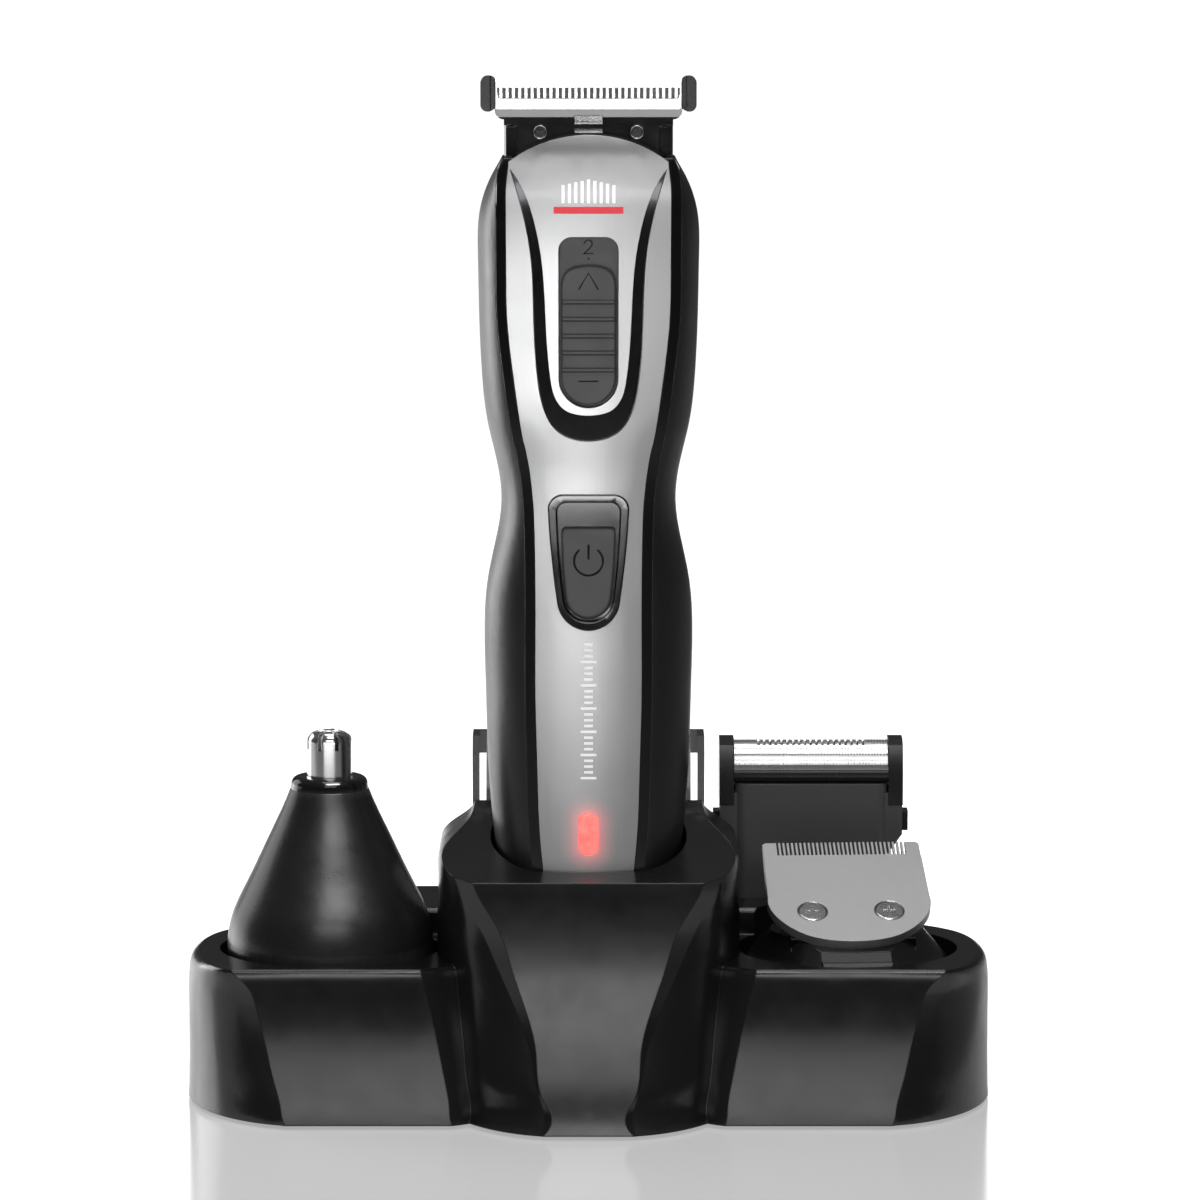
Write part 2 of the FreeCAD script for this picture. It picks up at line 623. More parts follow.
plate_o = outline(plate_edge, plate_lv, 188.9, 0)
trim_lv = plate_lv[:-1] + [SH]
r = side_curve(lambda z: plate_edge(z) + S("trim_width") + 0.34, trim_lv, 1)
l_ = list(reversed(side_curve(lambda z: plate_edge(z) + S("trim_width") + 0.34, trim_lv, -1)))
trim_o = Part.Wire([line(l_[-1], r[0]), curve(r), line(r[-1], l_[0]), curve(l_)])
plate_prism = prism_y(plate_o, -30, -11.8)
trim_prism = prism_y(trim_o, -30, -11.8)

# U-shaped groove round the slider
g_out = [(14.9, 182.6), (13.15, 176.8), (11.75, 171), (10.9, 165.4), (10.45, 154.1), (9.7, 142.7), (8.6, 137.2), (6.0, 132.9), (3.0, 131.3), (0, 130.9)]
g_in = [(14.9, 182.6), (11.6, 176.8), (9.9, 171), (8.9, 165.4), (8.15, 154.1), (7.2, 142.7), (6.3, 139.2), (4.4, 136.9), (2.2, 136.1), (0, 135.9)]


def u_curve(pts):
    full = [xz(x, z) for x, z in pts] + [xz(-x, z) for x, z in reversed(pts[:-1])]
    c = Part.BSplineCurve()
    c.interpolate(full)
    return c.toShape()


g_o, g_i = u_curve(g_out), u_curve(g_in)
outer_region = Part.Wire([g_o, line(xz(-14.9, 182.6), xz(14.9, 182.6))])
inner_region = Part.Wire([g_i, line(xz(-14.9, 182.6), xz(14.9, 182.6))])
groove_prism = prism_y(outer_region, -30, -11.8).cut(prism_y(inner_region, -31, -11))

# slider recess
sw = 5.68
slide_w = Part.Wire([line(xz(sw, 143.0), xz(sw, 167.3)), Part.Arc(xz(sw, 167.3), xz(sw - 0.73, 169.07), xz(sw - 2.5, 169.8)).toShape(),
                     line(xz(sw - 2.5, 169.8), xz(-sw + 2.5, 169.8)), Part.Arc(xz(-sw + 2.5, 169.8), xz(-sw + 0.73, 169.07), xz(-sw, 167.3)).toShape(),
                     line(xz(-sw, 167.3), xz(-sw, 143.0)), Part.Arc(xz(-sw, 143.0), xz(0, 143.0 - sw), xz(sw, 143.0)).toShape()])


def shield(wt, wm, wb, zt, zm, zb, r):
    """shield outline: wide flat top, tapering sides, round foot"""
    rt = [xz(wt, zt - r), xz(wm, zm), xz(wb, zb + wb * 0.86)]
    e = []
    k = r * (1 - math.sqrt(0.5))
    e.append(line(xz(-wt + r, zt), xz(wt - r, zt)))
    e.append(Part.Arc(xz(wt - r, zt), xz(wt - k, zt - k), xz(wt, zt - r)).toShape())
    e.append(curve([rt[0], rt[1], rt[2]]))
    e.append(Part.Arc(rt[2], xz(0, zb), xz(-rt[2].x, rt[2].z)).toShape())
    e.append(curve([xz(-rt[2].x, rt[2].z), xz(-rt[1].x, rt[1].z), xz(-rt[0].x, rt[0].z)]))
    e.append(Part.Arc(xz(-wt, zt - r), xz(-wt + k, zt - k), xz(-wt + r, zt)).toShape())
    return Part.Wire(Part.__sortEdges__(e))


sw_out = shield(7.75, 7.15, 5.95, 120.8, 109.5, 94.6, 2.9)
sw_in = shield(6.0, 5.55, 4.7, 119.2, 108.5, 96.4, 1.9)
sw_btn = shield(5.2, 4.92, 4.3, 114.3, 107.0, 97.1, 0.9)
led_w = rounded_xz(0, 55.35, 3.84, 8.4, 1.9)

slide_prism = prism_y(slide_w, -30, -11.0)
switch_prism = prism_y(sw_out, -30, -11.0)
led_prism = prism_y(led_w, -30, -11.0)

low = box(-40, 40, -40, 40, 0, CAP)
front_zone = plate_prism
front = shell.common(front_zone)
front = front.cut([groove_prism, slide_prism, switch_prism, led_prism])
node("front_cover", one(front))

below = box(-40, 40, -40, 40, CAP, SH)
trims = shell.common(below).common(trim_prism).cut(plate_prism)
for sx, nm in ((-1, "left_trim"), (1, "right_trim")):
    half = box(-40, 0, -40, 40, 0, 220) if sx < 0 else box(0, 40, -40, 40, 0, 220)
    node(nm, one(trims.common(half)))

split_y = 1.5
rest = shell.common(below).cut(trim_prism).cut(plate_prism)
grip_zone_l = box(-40, 0, -40, split_y, CAP, SH)
grip_zone_r = box(0, 40, -40, split_y, CAP, SH)
node("left_grip", one(rest.common(grip_zone_l)))
node("right_grip", one(rest.common(grip_zone_r)))
rear = rest.common(box(-40, 40, split_y, 40, CAP, SH))
rear_screws_z = (62.0, 100.0, 160.0)
rear_cuts = []
for zz in rear_screws_z:
    yb = tab(TB, zz)
    rear_cuts.append(cyl(1.9, 6, (0, yb - 0.7, zz), (0, 1, 0)))
    rear_cuts.append(cyl(1.0, 6, (0, yb - 4.0, zz), (0, 1, 0)))
rear = rear.cut(rear_cuts)
node("rear_housing", one(rear))

cap = shell.common(low)
contact_spots = [(-S("pin_spacing"), 0), (S("pin_spacing"), 0)]
contact_cuts = [cyl(2.0, 4.0, (x, y, 32.0)) for x, y in contact_spots]
cap = cap.cut(contact_cuts)
node("bottom_cap", one(cap))

contacts = []
for i, (x, y) in enumerate(contact_spots):
    c = doc.addObject("Part::Cylinder", "charge_contact_%d" % (i + 1))
    c.Radius = 2.0
    c.Height = 1.2
    c.Placement = place_at(x, y, 33.8)
    contacts.append(c)
cc = doc.addObject("Part::Compound", "charge_contacts")
cc.Links = contacts
keep(cc, "charge_contacts")

# groove insert: a thin glossy skin below the face
skin_top = loft([trimmer_wire(z, S("groove_depth")) for z in b_levels[8:]])
insert = skin_top.common(groove_prism).cut(body_inner)
insert = insert.common(box(-30, 30, -30, -11.9, 120, 182.6))
node("groove_insert", one(insert))

floor_s = prism_y(slide_w, -15.35, -14.25)
floor_s = floor_s.cut(box(-1.55, 1.55, -20, -10, 147.6, 159.2))
node("slider_bezel", one(floor_s))

ring = prism_y(sw_out, -17.15, -13.7).cut(prism_y(sw_in, -18, -14.7))
ring = ring.cut(box(-1.35, 1.35, -20, -10, 103.5, 111.9))
ring = round_edges(ring, 0.3, lambda e: abs(e.BoundBox.YMax + 17.15) < 1e-3 and abs(e.BoundBox.YMin + 17.15) < 1e-3)
node("switch_bezel", one(ring))

lens = prism_y(led_w, -17.15, -15.0)
lens = round_edges(lens, 0.5, lambda e: abs(e.BoundBox.YMax + 17.15) < 1e-3 and abs(e.BoundBox.YMin + 17.15) < 1e-3)
node("light_lens", lens)
rect_body("led", "XZ_Plane", "Sizes.led_width", "Sizes.led_height", "Sizes.led_depth", 0, -15.0 + S("led_depth") / 2.0, 55.35)

# inside the handle
cell = doc.addObject("Part::Cylinder", "battery_cell")
cell.setExpression("Radius", "Sizes.cell_radius")
cell.setExpression("Height", "Sizes.cell_length")
cell.Placement = place_at(0, 1.0, S("cell_level"))
motor = doc.addObject("Part::Cylinder", "motor_can")
motor.setExpression("Radius", "Sizes.motor_radius")
motor.setExpression("Height", "Sizes.motor_length")
motor.Placement = place_at(0, 0, S("motor_level"))
chassis = box(-8.4, 8.4, -3.0, 8.8, 56.0, 176.0)
chassis = chassis.cut([cyl(S("cell_radius"), S("cell_length"), (0, 1.0, S("cell_level"))),
                       cyl(S("motor_radius"), S("motor_length"), (0, 0, S("motor_level"))),
                       cyl(3.6, 12, (0, 0, S("motor_level") + S("motor_length") - 1)),
                       box(-5.5, 5.5, -10, 6.4, 117.0, 143.0),
                       box(-5.5, 5.5, -10, 5.0, 57.5, 62.5)])
chassis = chassis.cut([cyl(1.0, 6, (0, tab(TB, zz) - 9.5, zz), (0, 1, 0)) for zz in rear_screws_z])
node("chassis", one(chassis))
NODES.append(cell)
NODES.append(motor)
rect_body("circuit_board", "XZ_Plane", "Sizes.board_width", "Sizes.board_height", "Sizes.board_thickness", 0, -8.4, 91.0)

hs = []
for i, zz in enumerate(rear_screws_z):
    yb = tab(TB, zz)
    hd = cyl(1.9, 0.7 - 0.15, (0, yb - 0.7, zz), (0, 1, 0))
    sh = cyl(1.0, 5.0, (0, yb - 5.6, zz), (0, 1, 0))
    s1 = hd.fuse(sh)
    s1 = s1.cut(box(-1.3, 1.3, yb - 0.5, yb + 1, zz - 0.22, zz + 0.22)).cut(box(-0.22, 0.22, yb - 0.5, yb + 1, zz - 1.3, zz + 1.3))
    hs.append(s1)
node("housing_screws", Part.makeCompound([one(x) for x in hs]))

# length slider and its carriage
btn_w = 5.2
z_b = 137.95 + btn_w
st = S("slider_height")
zt = 137.95 + st
btn_wire = Part.Wire([line(xz(btn_w, z_b), xz(btn_w, zt - 3.4)),
                      curve([xz(btn_w, zt - 3.4), xz(btn_w - 0.75, zt - 1.35), xz(btn_w - 2.4, zt - 0.35), xz(0, zt),
                             xz(-btn_w + 2.4, zt - 0.35), xz(-btn_w + 0.75, zt - 1.35), xz(-btn_w, zt - 3.4)]),
                      line(xz(-btn_w, zt - 3.4), xz(-btn_w, z_b)),
                      Part.Arc(xz(-btn_w, z_b), xz(0, 137.95), xz(btn_w, z_b)).toShape()])
slider = prism_y(btn_wire, -17.9, -15.65)
slider = round_edges(slider, 0.4, lambda e: abs(e.BoundBox.YMax + 17.9) < 1e-3 and abs(e.BoundBox.YMin + 17.9) < 1e-3)
ribs = []
for zz in (157.55, 154.3, 151.1, 147.9, 144.65):
    ribs.append(prism_x([(-17.6, zz - 0.62), (-18.45, zz - 0.2), (-18.45, zz + 0.2), (-17.6, zz + 0.62)], -4.9, 4.9))
slider = slider.fuse(ribs + [box(-1.2, 1.2, -15.8, -13.6, 148.0, 153.2)])
node("length_slider", one(slider))
carriage = box(-5.0, 5.0, -13.6, -12.6, 141.0, 160.0)
carriage = carriage.cut([box(-3.4, -2.0, -14, -12, 143, 158), box(2.0, 3.4, -14, -12, 143, 158)])
node("comb_carriage", carriage)

# power switch
btn = prism_y(sw_btn, -17.45, -15.0)
btn = round_edges(btn, 0.5, lambda e: abs(e.BoundBox.YMax + 17.45) < 1e-3 and abs(e.BoundBox.YMin + 17.45) < 1e-3)
btn = btn.fuse(box(-1.0, 1.0, -15.2, -12.0, 103.9, 107.1))
node("power_button", one(btn))

# motor shaft, cam and pin
mz = S("motor_level") + S("motor_length")
shaft = doc.addObject("Part::Cylinder", "motor_shaft")
shaft.setExpression("Radius", "Sizes.shaft_radius")
shaft.setExpression("Height", "Sizes.shaft_length")
shaft.Placement = place_at(0, 0, mz + 0.1)
NODES.append(shaft)
cz = mz + 4.0
cam = cyl(S("cam_radius"), S("cam_height"), (0, 0, cz)).cut(cyl(S("shaft_radius"), 30, (0, 0, cz - 5)))
cam_top = cz + S("cam_height")
cap_c = cyl(S("cam_radius"), 5.6, (0, 0, cam_top)).cut(cyl(S("shaft_radius"), 30, (0, 0, cz - 5)))
disk = cyl(S("cam_radius"), 1.6, (0, 0, mz + 0.1 + S("shaft_length")))
cam = cam.fuse([cap_c, disk, cyl(S("cam_pin_radius"), S("cam_pin_length"), (S("cam_throw"), 0, mz + 0.1 + S("shaft_length") + 1.6))])
node("eccentric_cam", one(cam))
PIN0 = mz + 0.1 + S("shaft_length") + 1.6
PIN1 = PIN0 + S("cam_pin_length")

# =====================================================================
# BLADE HEAD
# =====================================================================
NZ = SH + 0.35
neck = box(-16.05, 16.05, -11.2, 9.6, NZ, 191.6)
neck = round_edges(neck, 2.0, lambda e: e.BoundBox.ZLength > 5)
neck = round_edges(neck, 0.8, lambda e: abs(e.BoundBox.ZMin - 191.6) < 1e-3 and e.BoundBox.YMin > -11.1)
plug = box(-12.6, 12.6, -9.6, 7.6, 179.0, NZ)
plug = round_edges(plug, 2.0, lambda e: e.BoundBox.ZLength > 4)
lip_w = Part.Wire([line(xz(-17.75, 193.6), xz(17.75, 193.6)), line(xz(17.75, 193.6), xz(17.75, 193.4)),
                   Part.Arc(xz(17.75, 193.4), xz(17.252, 192.198), xz(16.05, 191.7)).toShape(),
                   line(xz(16.05, 191.7), xz(16.05, 190.6)), line(xz(16.05, 190.6), xz(-16.05, 190.6)),
                   line(xz(-16.05, 190.6), xz(-16.05, 191.7)),
                   Part.Arc(xz(-16.05, 191.7), xz(-17.252, 192.198), xz(-17.75, 193.4)).toShape(),
                   line(xz(-17.75, 193.4), xz(-17.75, 193.6))])
lip = prism_y(lip_w, -11.2, -9.0)
lip = lip.cut(prism_x([(-11.5, 191.6), (-10.2, 193.9), (-11.5, 193.9)], -20, 20))
back_wall = box(-15.9, 15.9, -5.2, -2.6, 188.0, 196.4)
back_wall = back_wall.cut(prism_x([(-3.9, 196.8), (-2.3, 193.0), (-2.3, 197.5)], -20, 20))
head = neck.fuse([plug, lip, back_wall])
cavity = box(-10.5, 10.5, -9.0, 5.6, 178.0, 190.0)
slot_blade = box(-18.8, 18.8, -9.0, -5.2, 190.0, 200.0)
tongue_slot = box(-10.5, 10.5, -9.0, -5.2, 188.0, 192.0)
side_notch = [box(sx * 14.6 - 1.1, sx * 14.6 + 1.1, -12, -10.4, NZ, 190.35) for sx in (-1, 1)]
windows = [box(-2.65, 2.65, -12.5, -8.5, 190.85, 192.4), box(-2.65, 2.65, -12.5, -8.5, 189.2, 189.9)]
hsx, hsz = S("head_screw_spacing"), 189.3
screw_cuts = [cyl(1.35, 0.7, (sx * hsx, -11.3, hsz), (0, 1, 0)) for sx in (-1, 1)]
screw_cuts += [cyl(0.6, 4, (sx * hsx, -11.3, hsz), (0, 1, 0)) for sx in (-1, 1)]
seat = box(-13.6, 13.6, -6.4, -5.2, 186.4, 190.6)
head = head.cut([cavity, slot_blade, tongue_slot, seat] + side_notch + windows + screw_cuts)
node("head_housing", one(head))

# fixed blade, behind the moving blade
ft, fg = S("blade_tip"), int(S("fixed_gaps"))
fb = prism_x([(-6.4, 186.4), (-6.4, ft), (-6.0, ft), (-5.2, 195.6), (-5.2, 186.4)], -17.75, 17.75)
fb = fb.cut([box(-20, -13.6, -8, -4, 180, 190.6), box(13.6, 20, -8, -4, 180, 190.6), box(-7.2, 7.2, -8, -4, 180, 188.7)])
fb = fb.cut([box(-20, -15.9, -8, -4, 180, 192.0), box(15.9, 20, -8, -4, 180, 192.0)])
pf = 1.425
gaps = []
for i in range(fg):
    x = (i - (fg - 1) / 2.0) * pf
    gaps.append(box(x - 0.33, x + 0.33, -8, -4, 196.6, 202))
fb = fb.cut(gaps)
node("fixed_blade", one(fb))

mt, mg = S("moving_tip"), int(S("moving_gaps"))
bw = S("blade_half_width")
mb = prism_x([(-7.9, 191.9), (-7.9, 195.2), (-7.2, mt), (-6.5, mt), (-6.5, 191.9)], -bw, bw)
pm = 1.19
gaps = []
for i in range(mg):
    x = (i - (mg - 1) / 2.0) * pm
    gaps.append(box(x - 0.27, x + 0.27, -9, -5, 195.6, 200))
mb = mb.cut(gaps)
tongue = box(-4.0, 4.0, -7.9, -6.5, 186.6, 192.2)
mb = mb.fuse(tongue)
node("moving_blade", one(mb))
yoke = box(-4.6, 4.6, -6.5, 3.6, PIN0 + 0.6, PIN0 + 3.4).fuse(box(-3.8, 3.8, -6.5, -4.9, PIN0 + 0.6, PIN0 + 3.4))
yoke = yoke.cut(box(-2.95, 2.95, -2.2, 2.2, 180, 200))
node("drive_yoke", one(yoke))

guards = []
for sx in (-1, 1):
    w = rounded_xz(sx * 19.1, 196.4, 2.9, 6.7, 1.3)
    g = prism_y(w, -8.4, -3.6)
    innerp = box(17.3, 18.2, -6.4, -5.2, 193.3, 199.3)
    lipg = box(16.9, 18.4, -5.2, -3.6, 193.4, 199.0)
    if sx < 0:
        innerp = innerp.mirror(Vector(0, 0, 0), Vector(1, 0, 0))
        lipg = lipg.mirror(Vector(0, 0, 0), Vector(1, 0, 0))
    g = g.cut(box(-18.7, 18.7, -9, -6.42, 190, 202))
    g = g.fuse([lipg]).cut(fb)
    g = g.cut(box(-15.9, 15.9, -5.2, -2.6, 188.0, 196.4))
    guards.append(one(g))
node("blade_end_guards", Part.makeCompound(guards))

hscr = []
for sx in (-1, 1):
    s1 = cyl(S("head_screw_radius"), 0.5, (sx * hsx, -11.1, hsz), (0, 1, 0)).fuse(cyl(0.6, 2.1, (sx * hsx, -11.1, hsz), (0, 1, 0)))
    s1 = s1.cut(box(sx * hsx - 0.7, sx * hsx + 0.7, -12, -10.9, hsz - 0.15, hsz + 0.15))
    hscr.append(one(s1))
node("head_screws", Part.makeCompound(hscr))
spring = box(-6.5, 6.5, -9.0, -8.5, 188.6, 192.5).cut(box(-4.4, 4.4, -10, -8, 190.2, 190.6))
node("blade_spring", spring)

# =====================================================================
# NOSE HEAD
# =====================================================================
NX = -LC
NB = S("cup_depth_level") + 0.3
nose_prof = [(20.1, 31.0), (19.9, 33.0), (19.45, 35.2), (18.75, 37.4), (17.8, 39.5), (16.75, 41.6), (15.65, 43.8), (14.2, 46.8),
             (11.9, 51.7), (9.6, 56.5), (7.7, 61.0)]


def revolve(points, cx, cy):
    pts = [Vector(x, 0, z) for x, z in points]
    w = Part.makePolygon(pts + [pts[0]])
    f_ = Part.Face(w)
    s_ = f_.revolve(Vector(0, 0, 0), Vector(0, 0, 1), 360)
    s_.translate(Vector(cx, cy, 0))
    return s_


pw = Part.Wire([line(Vector(0, 0, NB), Vector(20.1, 0, NB)), line(Vector(20.1, 0, NB), Vector(20.1, 0, 31.0)),
                curve([Vector(x, 0, z) for x, z in nose_prof]),
                line(Vector(7.7, 0, 61.0), Vector(0, 0, 61.0)), line(Vector(0, 0, 61.0), Vector(0, 0, NB))])
cone = Part.Face(pw).revolve(Vector(0, 0, 0), Vector(0, 0, 1), 360)
cone.translate(Vector(NX, CY, 0))
bore = revolve([(0, NB - 1), (17.6, NB - 1), (17.6, 26.6), (3.2, 26.6), (3.2, 70), (0, 70)], NX, CY)
cone = cone.cut(bore)
node("nose_cone", one(cone))
collar_w = Part.Wire([line(Vector(3.2, 0, 61.0), Vector(7.62, 0, 61.0)), line(Vector(7.62, 0, 61.0), Vector(7.5, 0, 61.9)),
                      Part.Arc(Vector(7.5, 0, 61.9), Vector(7.05, 0, 63.05), Vector(5.9, 0, 63.5)).toShape(),
                      line(Vector(5.9, 0, 63.5), Vector(3.2, 0, 63.5)), line(Vector(3.2, 0, 63.5), Vector(3.2, 0, 61.0))])
collar = Part.Face(collar_w).revolve(Vector(0, 0, 0), Vector(0, 0, 1), 360)
collar.translate(Vector(NX, CY, 0))
collar = collar.cut(cyl(4.4, 10, (NX, CY, 62.0)))
node("nose_collar", one(collar))
rt, tt = S("nose_tube_radius"), S("nose_tube_top")
tube_w = Part.Wire([line(Vector(0, 0, 62.0), Vector(rt, 0, 62.0)), line(Vector(rt, 0, 62.0), Vector(rt, 0, tt - 2.2)),
                    Part.Arc(Vector(rt, 0, tt - 2.2), Vector(rt - 0.65, 0, tt - 0.65), Vector(rt - 2.2, 0, tt)).toShape(),
                    line(Vector(rt - 2.2, 0, tt), Vector(0, 0, tt)), line(Vector(0, 0, tt), Vector(0, 0, 62.0))])
tube = Part.Face(tube_w).revolve(Vector(0, 0, 0), Vector(0, 0, 1), 360)
tube.translate(Vector(NX, CY, 0))
tube = tube.cut(cyl(rt - 0.8, tt - 62 - 1.0 + 1, (NX, CY, 61.0)))
tube = tube.cut(cyl(1.3, 20, (NX, CY, 60.0)))
tslots = []
for k in range(8):
    s1 = box(1.7, 8, -0.4, 0.4, 68.9, 80)
    s1.rotate(Vector(0, 0, 0), Vector(0, 0, 1), 22.5 + 45 * k)
    s1.translate(Vector(NX, CY, 0))
    tslots.append(s1)
tube = tube.cut(tslots)
node("nose_guard_tube", one(tube))

cut_r = rt - 1.1
blades = []
for k in range(3):
    s1 = box(0.0, cut_r, -0.4, 0.4, 64.5, tt - 1.4)
    s1.rotate(Vector(0, 0, 0), Vector(0, 0, 1), 120 * k + 10)
    s1.translate(Vector(NX, CY, 0))
    blades.append(s1)
nc = cyl(2.2, 6.0, (NX, CY, 61.2)).fuse(blades)
node("nose_cutter", one(nc))
ns = doc.addObject("Part::Cylinder", "nose_drive_shaft")
ns.setExpression("Radius", "Sizes.nose_shaft_radius")
ns.setExpression("Height", "Sizes.nose_shaft_length")
ns.Placement = place_at(NX, CY, 61.2 - S("nose_shaft_length"))
NODES.append(ns)

# =====================================================================
# PRECISION HEAD
# =====================================================================
BX = LC
yaw = Placement(Vector(BX, CY, 0), Rotation(Vector(0, 0, 1), S("plate_yaw")))
tilt = S("plate_tilt")
# local frame of the head: x across, y back, z up, origin at the cup's middle
base_r = S("beard_base_radius")
bh = cyl(base_r, 6.4, (0, 0, NB))
bh = bh.fuse(Part.makeCone(base_r, 14.9, 5.2, Vector(0, 0, NB + 6.4), Vector(0, 0, 1)))
co, si = math.cos(math.radians(tilt)), math.sin(math.radians(tilt))
PY, PZ = -15.3, 33.55        # lower front edge of the plate's upper surface
PLN = S("plate_length")


def on_plate(d, n):
    """point a distance d up the plate and n below its upper surface"""
    return (PY + d * co + n * si, PZ + d * si - n * co)


pt = S("plate_thickness")
a0, a1 = on_plate(3.0, pt), on_plate(25.0, pt)
wedge = prism_x([(a0[0], a0[1]), (a1[0], a1[1]), (a1[0] + 1.0, 36.0), (11.0, 31.0), (-12.0, 31.0), (a0[0] + 0.5, 31.6)], -12.2, 12.2)
bh = bh.fuse(wedge)
# room for the moving blade under the plate
m0, m1, m2, m3 = on_plate(15.5, pt), on_plate(40.0, pt), on_plate(40.0, pt + 1.6), on_plate(15.5, pt + 1.6)
blade_room = prism_x([m0, m1, m2, m3], -30.0, 30.0)
bh = bh.cut(blade_room)
drive_hole = cyl(4.0, 30, (0, 4.0, NB - 1))
bh = bh.cut(drive_hole)
tab_w = [(-20.0, 25.4), (-20.0, 29.2), (-18.2, 31.3), (-14.6, 31.3), (-14.6, 25.4)]
grip = prism_x(tab_w, -6.8, 6.8)
grip = round_edges(grip, 0.8, lambda e: e.BoundBox.YMax < -19.9 and e.BoundBox.XLength < 0.01)
u0, u1 = on_plate(-4.0, pt), on_plate(45.0, pt)
above = prism_x([u0, u1, (u1[0], 80.0), (-40.0, 80.0), (-40.0, u0[1])], -40, 40)
bh = bh.cut(above)
grip = grip.cut(above)
bh_only = bh.cut(grip)
node("beard_head_housing", one(bh_only), yaw)
node("beard_grip_tab", one(grip), yaw)

# steel plate in its own plane, then tilted
hw = S("plate_width") / 2.0


def xy(x, y, z=0.0):
    return Vector(x, y, z)


pw = Part.Wire([curve([xy(-hw - 0.35, 13.5), xy(-hw + 0.6, 8.2), xy(-hw + 4.2, 3.6), xy(-hw + 9.0, 0.9), xy(0, 0.0),
                       xy(hw - 9.0, 0.9), xy(hw - 4.2, 3.6), xy(hw - 0.6, 8.2), xy(hw + 0.35, 13.5)]),
                line(xy(hw + 0.35, 13.5), xy(hw, PLN - 0.6)), line(xy(hw, PLN - 0.6), xy(hw - 0.6, PLN)),
                line(xy(hw - 0.6, PLN), xy(-hw + 0.6, PLN)), line(xy(-hw + 0.6, PLN), xy(-hw, PLN - 0.6)),
                line(xy(-hw, PLN - 0.6), xy(-hw - 0.35, 13.5))])
pl = Part.Face(pw).extrude(Vector(0, 0, -pt))
taper = Part.Face(poly([Vector(-30, PLN - 5.2, -0.35), Vector(-30, PLN + 1, -0.35), Vector(-30, PLN + 1, 5), Vector(-30, PLN - 5.2, 5)])).extrude(Vector(60, 0, 0))
pl = pl.cut(taper)
under = Part.Face(poly([Vector(-30, PLN - 6.0, -pt - 0.01), Vector(-30, PLN + 1, -0.85), Vector(-30, PLN + 1, -5), Vector(-30, PLN - 6.0, -5)])).extrude(Vector(60, 0, 0))
pl = pl.cut(under)
pg, pp = int(S("plate_gaps")), 0.835
gaps = []
for i in range(pg):
    x = (i - (pg - 1) / 2.0) * pp
    gaps.append(Part.makeBox(0.4, 6, 6, Vector(x - 0.2, PLN - 3.9, -4)))
pl = pl.cut(gaps)
screw_at = [(-7.5, 9.2), (7.5, 9.2)]
sr = S("beard_screw_radius")
pl = pl.cut([Part.makeCylinder(sr, 6, Vector(x, y, -0.9), Vector(0, 0, 1)) for x, y in screw_at])
pl = pl.cut([Part.makeCylinder(1.2, 9, Vector(x, y, -6), Vector(0, 0, 1)) for x, y in screw_at])


def to_head(shape):
    r_ = shape.copy()
    r_.rotate(Vector(0, 0, 0), Vector(1, 0, 0), tilt)
    r_.translate(Vector(0, PY, PZ))
    return r_


node("beard_fixed_blade", one(to_head(pl)), yaw)
bs = []
for x, y in screw_at:
    s1 = Part.makeCylinder(sr - 0.25, 0.95, Vector(x, y, -0.9), Vector(0, 0, 1))
    s1 = s1.makeFillet(0.3, [e for e in s1.Edges if abs(e.BoundBox.ZMin - 0.05) < 1e-3 and e.BoundBox.ZLength < 1e-3])
    s1 = s1.fuse(Part.makeCylinder(1.2, 4.2, Vector(x, y, -4.6), Vector(0, 0, 1)))
    s1 = s1.cut(Part.makeBox(2.6, 0.5, 1, Vector(x - 1.3, y - 0.25, -0.35))).cut(Part.makeBox(0.5, 2.6, 1, Vector(x - 0.25, y - 1.3, -0.35)))
    bs.append(one(to_head(s1)))
node("beard_blade_screws", Part.makeCompound(bs), yaw)
# the shanks go into the housing
bh2 = [o for o in NODES if o.Label == "beard_head_housing"][0]
shk = [to_head(Part.makeCylinder(1.2, 5.2, Vector(x, y, -4.6), Vector(0, 0, 1))) for x, y in screw_at]
with_holes = one(bh_only.cut(shk))
own = with_holes.Placement
bh2.Shape = with_holes
bh2.Placement = SHIFT.multiply(yaw).multiply(own)
mbp = Part.makeBox(27.6, 13.4, 1.0, Vector(-13.8, PLN - 1.9 - 13.4, -pt - 0.15 - 1.0))
mbp = mbp.cut(Part.Face(poly([Vector(-30, PLN - 6.0, -pt - 0.15 - 1.1), Vector(-30, PLN, -pt - 0.5), Vector(-30, PLN, -pt - 3)])).extrude(Vector(60, 0, 0)))
gaps = []
for i in range(22):
    x = (i - 10.5) * 1.2
    gaps.append(Part.makeBox(0.5, 6, 6, Vector(x - 0.25, PLN - 4.4, -6)))
mbp = mbp.cut(gaps)
node("beard_moving_blade", one(to_head(mbp)), yaw)

